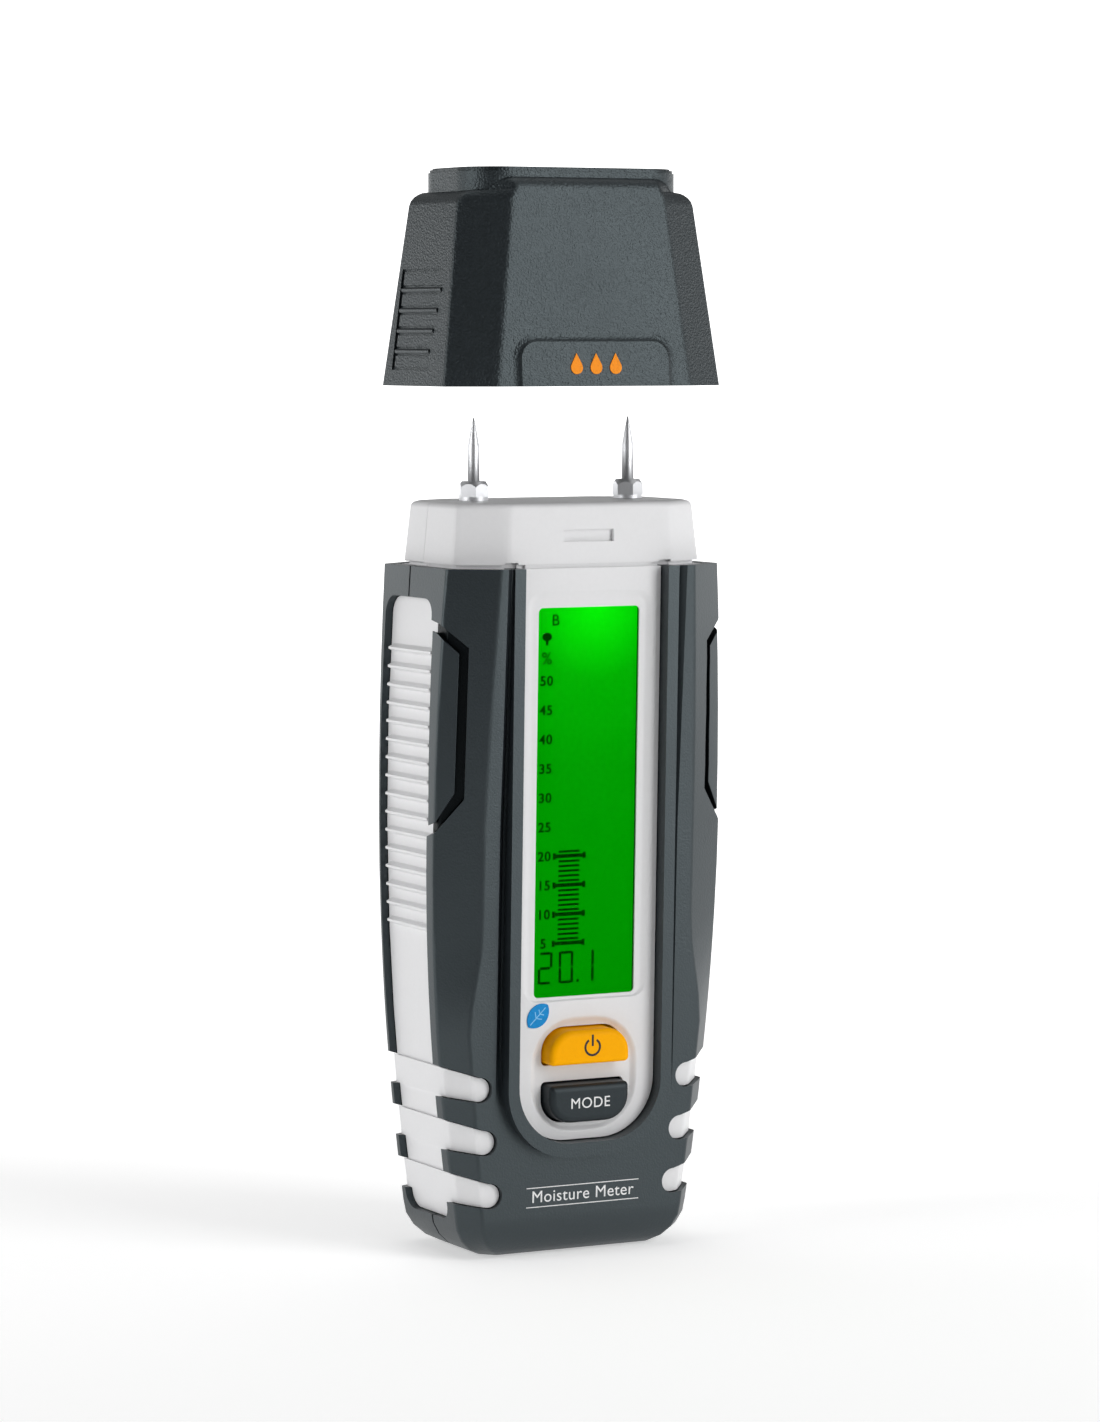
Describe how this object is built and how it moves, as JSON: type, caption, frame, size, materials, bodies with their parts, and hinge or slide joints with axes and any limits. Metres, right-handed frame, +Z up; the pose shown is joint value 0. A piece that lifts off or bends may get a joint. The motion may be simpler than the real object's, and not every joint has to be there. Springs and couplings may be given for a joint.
{
  "type": "moisture meter",
  "caption": "Pocket pin moisture meter: waisted two-shell body, lit display, two keys, twin probe pins and a lift-off cap.",
  "frame": {"origin": "middle of the flat base", "axes": "+Z up towards the probe pins and cap, +Y to the back (battery door), +X to the right as seen from the front"},
  "size_m": [0.0596, 0.038, 0.2],
  "materials": {
    "dark_shell": "fine grained dark grey moulded plastic",
    "dark_inlay": "satin dark grey plastic",
    "white_plastic": "smooth white moulded plastic",
    "window": "clear plastic window",
    "foam": "black foam",
    "lcd": "green lit display glass",
    "light_guide": "milky light guide",
    "board": "solder-masked circuit board",
    "black_part": "black moulded component",
    "steel": "bright plated steel",
    "brass": "turned brass",
    "spring_strip": "nickel plated spring steel",
    "tray": "plain dark plastic",
    "cell_wrap": "shrink-wrapped cell",
    "orange_key": "soft orange plastic",
    "grey_key": "soft dark grey plastic",
    "pale_plunger": "natural plastic",
    "blue_print": "printed blue ink",
    "orange_print": "printed orange ink",
    "cap_plastic": "coarse grained dark grey moulded plastic"
  },
  "bodies": {
    "housing": {"front_shell": "dark_shell", "back_shell": "dark_shell", "front_fascia": "white_plastic", "head_rear": "white_plastic", "side_grip_left": "white_plastic", "side_grip_right": "white_plastic", "side_inlay_left": "dark_inlay", "side_inlay_right": "dark_inlay", "display_window": "window", "display_gasket": "foam", "lcd_panel": "lcd", "backlight": "light_guide", "main_board": "board", "controller_chip": "black_part", "quartz_crystal": "spring_strip", "buzzer": "black_part", "board_capacitors": "spring_strip", "power_switch": "black_part", "mode_switch": "black_part", "probe_socket_left": "brass", "probe_socket_right": "brass", "probe_pin_left": "steel", "probe_pin_right": "steel", "probe_nut_left": "steel", "probe_nut_right": "steel", "probe_strip_left": "spring_strip", "probe_strip_right": "spring_strip", "battery_tray": "tray", "cell_left": "cell_wrap", "cell_right": "cell_wrap", "cell_spring_left": "spring_strip", "cell_spring_right": "spring_strip", "contact_plates": "spring_strip", "bridge_contact": "spring_strip", "case_screws": "spring_strip", "board_screws": "spring_strip", "leaf_badge": "blue_print"},
    "cap": {"cap_shell": "cap_plastic", "cap_top_plate": "cap_plastic", "cap_drop_badge": "orange_print"},
    "power_key": {"power_button": "orange_key", "power_plunger": "pale_plunger"},
    "mode_key": {"mode_button": "grey_key", "mode_plunger": "pale_plunger"},
    "door": {"battery_door": "dark_shell"}
  },
  "joints": [
    {"name": "cap_slide", "type": "slide", "parent": "housing", "child": "cap", "axis": [0, 0, 1], "range_m": [-0.0326, 0.02]},
    {"name": "power_press", "type": "slide", "parent": "housing", "child": "power_key", "axis": [0, 0.9996, 0.0297], "range_m": [0, 0.0008], "stiffness_N_per_m": 300, "springref_m": -0.002},
    {"name": "mode_press", "type": "slide", "parent": "housing", "child": "mode_key", "axis": [0, 0.9996, 0.0297], "range_m": [0, 0.0008], "stiffness_N_per_m": 300, "springref_m": -0.002},
    {"name": "battery_door_hinge", "type": "hinge", "parent": "housing", "child": "door", "pos_m": [0, 0.01643, 0.0255], "axis": [-1, 0, 0], "range_deg": [0, 75]}
  ]
}
